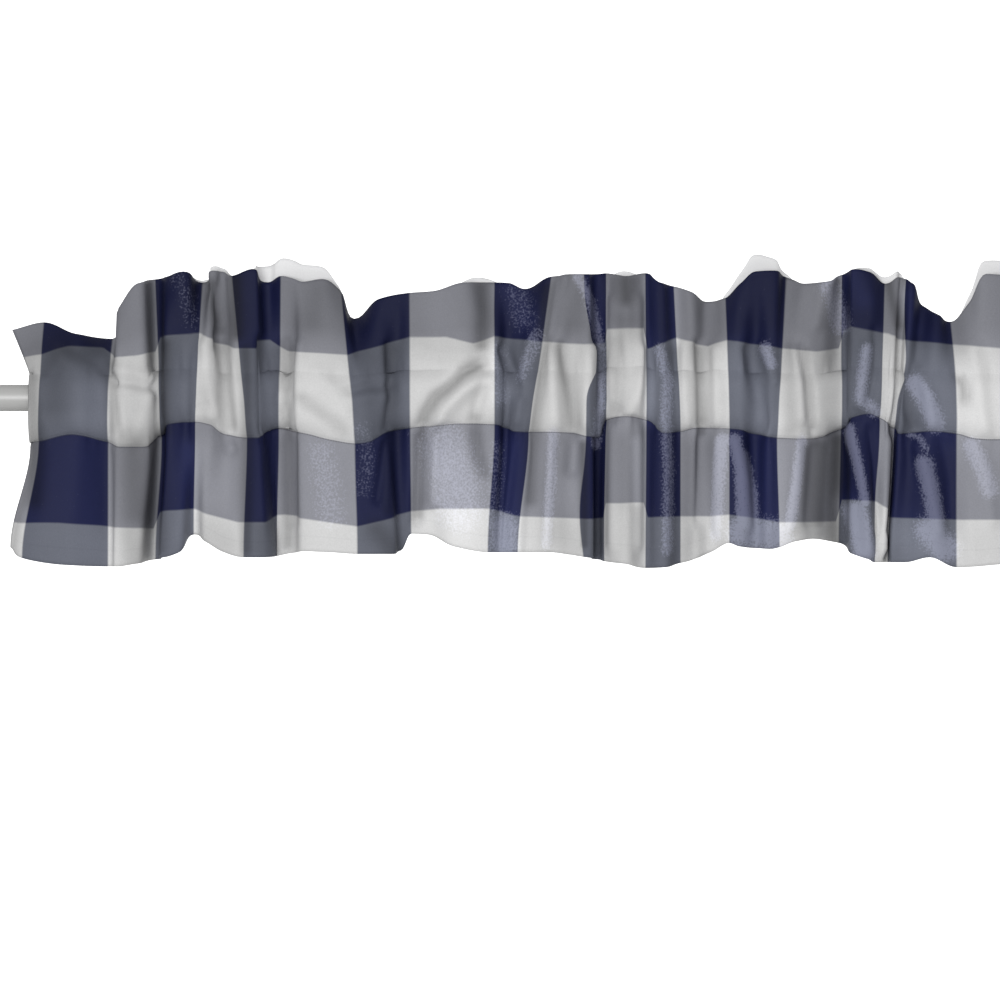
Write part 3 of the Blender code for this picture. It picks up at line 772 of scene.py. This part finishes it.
def checked_cloth():
    material, shader, start = new_material("checked_cloth", {"Specular IOR Level": 0.12})
    pattern = start.node("ShaderNodeUVMap", {"uv_map": "pattern"}, {})
    across = start.node("ShaderNodeSeparateXYZ", {}, {0: pattern}, "X")
    up = start.node("ShaderNodeSeparateXYZ", {}, {0: pattern}, "Y")
    row = start.node("ShaderNodeAttribute", {"attribute_name": "row"}, {}, "Fac")
    place = start.node("ShaderNodeTexCoord", {}, {}, "Object")
    yarn = start.node("ShaderNodeTexNoise", {}, {"Vector": place, "Scale": 700.0, "Detail": 2.0})
    worn = start.node("ShaderNodeTexNoise", {}, {"Vector": place, "Scale": 25.0, "Detail": 4.0})
    dark_warp = ((across * np.pi).math("SINE") * -CHECK_EDGE + 0.5).math("MAXIMUM", 0).math("MINIMUM", 1)
    dark_weft = ((up * np.pi).math("SINE") * -CHECK_EDGE + 0.5).math("MAXIMUM", 0).math("MINIMUM", 1)
    # The gleam attribute holds the painted sheen strokes, broken up by a fine speckle.
    shine = start.node("ShaderNodeAttribute", {"attribute_name": "gleam"}, {}, "Fac")
    speckle = start.node("ShaderNodeTexNoise", {}, {"Vector": place, "Scale": 420.0, "Detail": 3.0})
    checks = start.mix(dark_warp, start.mix(dark_weft, WHITE, GREY), start.mix(dark_weft, SLATE, NAVY))
    # Painted shade over the upper half of the heading, and the strokes' painted shade less painted light from
    # the shade attribute, on top of random yarn and tone variation.
    heading = ((row - 2) * 2).math("MAXIMUM", 0).math("MINIMUM", 1)
    dim = start.node("ShaderNodeAttribute", {"attribute_name": "shade"}, {}, "Fac")
    shade = (0.82 + 0.26 * yarn + 0.1 * worn) * (1 - HEADING_SHADE * heading) * (1 - dim)
    base = start.mix(1.0, checks, shade, "MULTIPLY")
    # Painted sheen: a speckled bluish highlight added to the colour where the gleam strokes lie.
    shining = ((shine + speckle * 1.5 - 1.05) * 1.9).math("MAXIMUM", 0).math("MINIMUM", 1)
    base = start.mix(shining, base, GLEAM, "ADD")
    # Stitched rows in dark thread; the strong line at the lower seam is also painted shade in the seam's
    # pinch.
    stitch = 0
    for sewn, strength in SEWN_ROWS:
        near = (row - sewn).math("ABSOLUTE").math("LESS_THAN", SEAM_LINE)
        stitch = near * strength + stitch
    stitch = stitch * (0.6 + 0.4 * (across * STITCHES).math("FRACT").math("LESS_THAN", STITCH_SHARE))
    base = start.mix(stitch, base, THREAD_AND_SEAM_SHADE)
    roughness = 0.5 + 0.16 * yarn - 0.08 * worn
    relief = 0.45 * woven(across, up, THREADS) + 0.8 * yarn - 0.8 * stitch
    bump = start.node("ShaderNodeBump", {}, {"Strength": 0.35, "Distance": 0.0005, "Height": relief})
    material.node_tree.links.new(base.socket, shader.inputs["Base Color"])
    material.node_tree.links.new(roughness.socket, shader.inputs["Roughness"])
    material.node_tree.links.new(bump.socket, shader.inputs["Normal"])
    return material


# The front's rows, from the fold of the hem to the top edge, close together where the cloth bends most.
HEM_ROWS = 5
FRONT_ROWS = np.concatenate(
    (
        np.linspace(0, HEM_ROW, HEM_ROWS),
        np.linspace(HEM_ROW, 0.93, 26)[1:],
        np.linspace(0.93, 1.06, 7)[1:],
        np.linspace(1.06, 1.95, 18)[1:],
        np.linspace(1.95, 2.05, 6)[1:],
        np.linspace(2.05, 3, 23)[1:],
    )
)

GROOVE_WIDTH = 3.0
GROOVE_DEPTH = 1.2
GROOVE_SPAN = 110  # about how many millimetres of cloth a row takes at the lower seam
SEAM_GRIP, SEAM_GRIP_REACH = 0.8, 0.07  # how flat the lower seam holds creases, and over how many rows


def lifts(rows, places, base):
    """How far a sheet's creases, puckers and slight unevenness lift each point of its plain folds."""
    drift = ripples(places, DRIFTS)[None, :] * np.sin(rows * DRIFT_PACE + DRIFT_PHASE)[:, None] * DRIFT_SHARE
    groove = GROOVE_DEPTH * np.exp(-((np.abs(rows - 1) * GROOVE_SPAN / GROOVE_WIDTH) ** 2))
    held = 1 - SEAM_GRIP * np.exp(-(((rows - 1) / SEAM_GRIP_REACH) ** 2))
    return crease_heights(base) * held[:, None] + seam_puckers(rows, places) + drift - groove[:, None]


# How the bends at the seams are eased: steps in rows with their shares, the rows with room for such steps,
# and for each seam its row, its reach in rows and how much of the eased shape it takes.
ROW_SPREAD = ((-0.18, 0.15), (-0.09, 0.22), (0, 0.26), (0.09, 0.22), (0.18, 0.15))
EASED_ROWS = (0.2, 2.8)
SEAM_EASES = ((1, 0.14, 0.5), (2, 0.2, 1.0))


def soft_rows(rows, places):
    """The face's plain folds, with the bends along both seams eased over a little height."""
    plain = np.array([face_row(row, places) for row in rows])
    eased = np.zeros(plain.shape)
    for step, share in ROW_SPREAD:
        eased += share * np.array([face_row(row + step, places) for row in np.clip(rows, *EASED_ROWS)])
    near = sum(hold * np.exp(-(((rows - seam) / reach) ** 2)) for seam, reach, hold in SEAM_EASES)
    near = near[:, None] * np.ones(len(places))
    plain[..., 1] += near * (eased[..., 1] - plain[..., 1])
    return plain


NEAR_POLE = (0.9, 2.1)
CREASE_GAP = 0.3


def clear_of_pole(rows, grid):
    """Pushes the pocket's cloth outwards where a crease would take it into the pole."""
    radius = np.hypot(grid[..., 1], grid[..., 2])
    least = POLE_RADIUS + POLE_GAP + CLOTH + CREASE_GAP
    inside = (rows > NEAR_POLE[0]) & (rows < NEAR_POLE[1])
    push = np.where(inside[:, None] & (radius < least), least / radius, 1)
    grid = grid.copy()
    grid[..., 1:] *= push[..., None]
    return grid


COLUMN_LENGTH = 4.6
FEWEST_COLUMNS = 6
places = even_places(COLUMN_LENGTH, FEWEST_COLUMNS)
plain = soft_rows(FRONT_ROWS, places)
creased = plain + outwards(plain) * lifts(FRONT_ROWS, places, plain)[..., None]
front = clear_of_pole(FRONT_ROWS, creased)
front_counts = weft_count(FRONT_ROWS, places)

# The hem's turned-up layer comes first, from its stitched edge down to the fold, and then the front going up.
hem_rows = np.arange(HEM_ROWS - 1, -1, -1)
turned = front[hem_rows] - square_to(front)[hem_rows] * HEM_TURN
face = cloth_piece(
    "face_cloth",
    np.concatenate((turned, front)),
    warp_count(np.concatenate((FRONT_ROWS[hem_rows], FRONT_ROWS)), places),
    np.concatenate((front_counts[hem_rows], front_counts)),
    np.concatenate((FRONT_ROWS[hem_rows] - 1, FRONT_ROWS)),
    # The front carries the strokes' painted sheen, then their painted shade less painted light; the hem's
    # turned layer has none.
    np.concatenate((0 * front_counts[hem_rows], patches(GLEAMS, plain, 3))),
    np.concatenate((0 * front_counts[hem_rows], patches(SHADES, plain, 2) - patches(LIGHTER, plain, 2))),
)
face.data.materials.append(checked_cloth())
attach(face, "root")
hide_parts("face_panel")


# Heading facing
# A plain white layer behind the face, sewn to it along both seams, which makes the pocket for the pole and
# stands up behind the face's top edge in places.

# Where it stands up: from and to in checks, and by how much.
Rise = namedtuple("Rise", "start end height")
FACING_RISES = (
    Rise(3.55, 5.2, 6.0),
    Rise(5.2, 7.15, 22.0),
    Rise(8.5, 9.1, 6.0),
    Rise(12.1, 12.9, 6.0),
    Rise(14.9, 16.1, 21.0),
    Rise(17.3, 19.05, 8.0),
    Rise(20.1, 21.2, 18.0),
)
FACING_DROP = 5.0  # how far below the face's top edge the facing ends where it has no rise
RISE_SQUARENESS = 0.7  # below 1, the rises are squarer than a plain wave
WHITE_CLOTH = colour(216, 216, 217)
SEAM_HOLD = 0.2  # how many rows the facing takes to leave the face beside a seam
SIDE_MARGIN = 0.03  # how far inside the face's side edges the facing ends, in checks
TOP_STRIP = 7  # from the last row of the heading to the face's top edge


def facing_rise(at):
    """How far the facing stands above the face's top edge: soft humps from the table."""
    height = np.full(len(at), -FACING_DROP)
    for rise in FACING_RISES:
        share = np.clip((at - rise.start) / (rise.end - rise.start), 0, 1)
        hump = (rise.height + FACING_DROP) * np.sin(np.pi * share) ** RISE_SQUARENESS - FACING_DROP
        height = np.maximum(height, hump)
    return height


def white_cloth():
    material, shader, start = new_material("white_cloth", {"Sheen Weight": 0.15, "Specular IOR Level": 0.3})
    pattern = start.node("ShaderNodeUVMap", {"uv_map": "pattern"}, {})
    across = start.node("ShaderNodeSeparateXYZ", {}, {0: pattern}, "X")
    up = start.node("ShaderNodeSeparateXYZ", {}, {0: pattern}, "Y")
    place = start.node("ShaderNodeTexCoord", {}, {}, "Object")
    yarn = start.node("ShaderNodeTexNoise", {}, {"Vector": place, "Scale": 800.0, "Detail": 2.0})
    base = start.mix(1.0, WHITE_CLOTH, 0.9 + 0.16 * yarn, "MULTIPLY")
    relief = 0.5 * woven(across, up, THREADS) + 0.6 * yarn
    bump = start.node("ShaderNodeBump", {}, {"Strength": 0.3, "Distance": 0.0005, "Height": relief})
    material.node_tree.links.new(base.socket, shader.inputs["Base Color"])
    material.node_tree.links.new((0.62 + 0.16 * yarn).socket, shader.inputs["Roughness"])
    material.node_tree.links.new(bump.socket, shader.inputs["Normal"])
    return material


def behind_face(rows):
    """The face's points at those rows, moved one layer and a gap back and held out of its standing folds."""
    plain = soft_rows(rows, inner)
    behind = plain + outwards(plain) * lifts(rows, inner, plain)[..., None]
    behind -= square_to(behind) * (SOLID_CLOTH + LAYER_GAP)
    behind[..., 1] = -not_so_deep(-behind[..., 1])
    return behind


inner = places[(places > FLAT[0] + SIDE_MARGIN) & (places < FLAT[-1] - SIDE_MARGIN)]
pocket_rows = np.concatenate(
    (
        np.linspace(1, 1.1, 4),
        np.linspace(1.1, 1.9, 16)[1:],
        np.linspace(1.9, 2, 4)[1:],
    )
)
pocket = np.array([along_folds(*pocket_row(row, -1), inner) for row in pocket_rows])
near_seams = np.array([0.99, 1.0, 1.01, 1.99, 2.0, 2.01])
sewn = behind_face(near_seams)[[1, 4]]
for index, row in enumerate(pocket_rows):
    pocket[index] += (sewn[0] - pocket[0]) * ease(max(0, 1 - (row - 1) / SEAM_HOLD)) * (index > 0)
    pocket[index] += (sewn[1] - pocket[-1]) * ease(max(0, 1 - (2 - row) / SEAM_HOLD)) * (row < 2)
pocket[0], pocket[-1] = sewn
heading_rows = np.concatenate((np.linspace(2, 2.06, 3), np.linspace(2.06, 2.94, 16)[1:]))
heading = behind_face(heading_rows)
run = heading[-1:] - heading[-4:-3]
reach = run / np.linalg.norm(run, axis=2, keepdims=True)
steps = (TOP_STRIP + facing_rise(inner))[None, :, None] * np.linspace(0, 1, 6)[1:, None, None]
top = heading[-1:] + reach * steps
facing_grid = np.concatenate((pocket[:-1], heading, top))
facing_rows = np.concatenate((pocket_rows[:-1], heading_rows, np.linspace(2.95, 3.2, 5)))
unmarked = 0 * facing_grid[..., 0]
facing = cloth_piece(
    "facing_cloth",
    facing_grid,
    unmarked + inner,
    unmarked + facing_rows[:, None],
    facing_rows,
    unmarked,
    unmarked,
)
facing.data.materials.append(white_cloth())
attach(facing, "root")
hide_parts("heading_facing")


# Pole
# A wooden pole, turned round and painted white, with the edges of its ends softened. It is pushed through
# the pocket from one side.
POLE_SIDES = 128
EDGE_ROUNDING = 1.5
POLE_WHITE = colour(158, 158, 157)


def white_paint():
    material, shader, start = new_material("white_paint", {"Coat Weight": 0.2, "Coat Roughness": 0.3})
    place = start.node("ShaderNodeTexCoord", {}, {}, "Object")
    grain = start.node("ShaderNodeMapping", {}, {"Vector": place, "Scale": (3.0, 160.0, 160.0)})
    brushed = start.node("ShaderNodeTexNoise", {}, {"Vector": grain, "Scale": 1.0, "Detail": 4.0})
    base = start.mix(1.0, POLE_WHITE, 0.94 + 0.1 * brushed, "MULTIPLY")
    bump = start.node("ShaderNodeBump", {}, {"Strength": 0.15, "Distance": 0.0004, "Height": brushed})
    material.node_tree.links.new(base.socket, shader.inputs["Base Color"])
    material.node_tree.links.new((0.34 + 0.16 * brushed).socket, shader.inputs["Roughness"])
    material.node_tree.links.new(bump.socket, shader.inputs["Normal"])
    return material


turning = bmesh.new()
length = POLE_HIGH[0] - POLE_LOW[0]
bmesh.ops.create_cone(
    turning,
    cap_ends=True,
    segments=POLE_SIDES,
    radius1=POLE_RADIUS * MM,
    radius2=POLE_RADIUS * MM,
    depth=length,
)
rims = [edge for edge in turning.edges if abs(edge.verts[0].co.z - edge.verts[1].co.z) < MM]
bmesh.ops.bevel(
    turning,
    geom=rims,
    offset=EDGE_ROUNDING * MM,
    segments=5,
    profile=0.5,
    affect="EDGES",
    material=-1,
)
bmesh.ops.rotate(turning, verts=turning.verts, matrix=Matrix.Rotation(np.pi / 2, 3, "Y"))
bmesh.ops.translate(turning, verts=turning.verts, vec=(MIDDLE, 0, 0))
pole_mesh = bpy.data.meshes.new("pole_turned")
turning.to_mesh(pole_mesh)
turning.free()
pole_mesh.shade_smooth()
pole_mesh.set_sharp_from_angle(angle=np.radians(40))
pole_mesh.materials.append(white_paint())
pole = bpy.data.objects.new("pole_turned", pole_mesh)
bpy.context.scene.collection.objects.link(pole)
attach(pole, "root")
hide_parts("pole")


# Floor, light and background
# A pale floor well below, a white card far behind, and one large soft light in front on the left.
FLOOR_Z = -1.3
CARD_BEHIND = 7
ROOM_LIGHT = 0.6
KEY_PLACE = (MIDDLE - 1.5, -6.0, 0.45)
KEY_AIM = (MIDDLE, 0, -0.05)
KEY_SIZE = 2.6
KEY_POWER = 264

floor_mesh = bpy.data.meshes.new("floor")
floor_edit = bmesh.new()
bmesh.ops.create_grid(floor_edit, x_segments=1, y_segments=1, size=2.5)
bmesh.ops.translate(floor_edit, verts=floor_edit.verts, vec=(MIDDLE, 0, FLOOR_Z))
floor_edit.to_mesh(floor_mesh)
floor_edit.free()
floor_material, _, _ = new_material("floor", {"Roughness": 0.9, "Base Color": (0.8, 0.8, 0.8, 1)})
floor_mesh.materials.append(floor_material)
floor = bpy.data.objects.new("floor", floor_mesh)
bpy.context.scene.collection.objects.link(floor)

card_edit = bmesh.new()
bmesh.ops.create_grid(card_edit, x_segments=1, y_segments=1, size=2.2)
bmesh.ops.rotate(card_edit, verts=card_edit.verts, matrix=Matrix.Rotation(np.pi / 2, 3, "X"))
bmesh.ops.translate(card_edit, verts=card_edit.verts, vec=(MIDDLE, CARD_BEHIND, 0))
card_mesh = bpy.data.meshes.new("white_card")
card_edit.to_mesh(card_mesh)
card_edit.free()
card_material, _, _ = new_material("white_card", {"Emission Color": (1, 1, 1, 1), "Emission Strength": 1.0})
card_mesh.materials.append(card_material)
card = bpy.data.objects.new("white_card", card_mesh)
bpy.context.scene.collection.objects.link(card)

world = bpy.data.worlds.new("white")
world.use_nodes = True
world.node_tree.nodes["Background"].inputs["Color"].default_value = (1, 1, 1, 1)
world.node_tree.nodes["Background"].inputs["Strength"].default_value = ROOM_LIGHT
bpy.context.scene.world = world
bpy.context.scene.view_settings.view_transform = "Standard"

key_data = bpy.data.lights.new("key", "AREA")
key_data.shape = "SQUARE"
key_data.size = KEY_SIZE
key_data.energy = KEY_POWER
key = bpy.data.objects.new("key", key_data)
key.location = KEY_PLACE
key.rotation_euler = (Vector(KEY_AIM) - key.location).to_track_quat("-Z", "Y").to_euler()
bpy.context.scene.collection.objects.link(key)
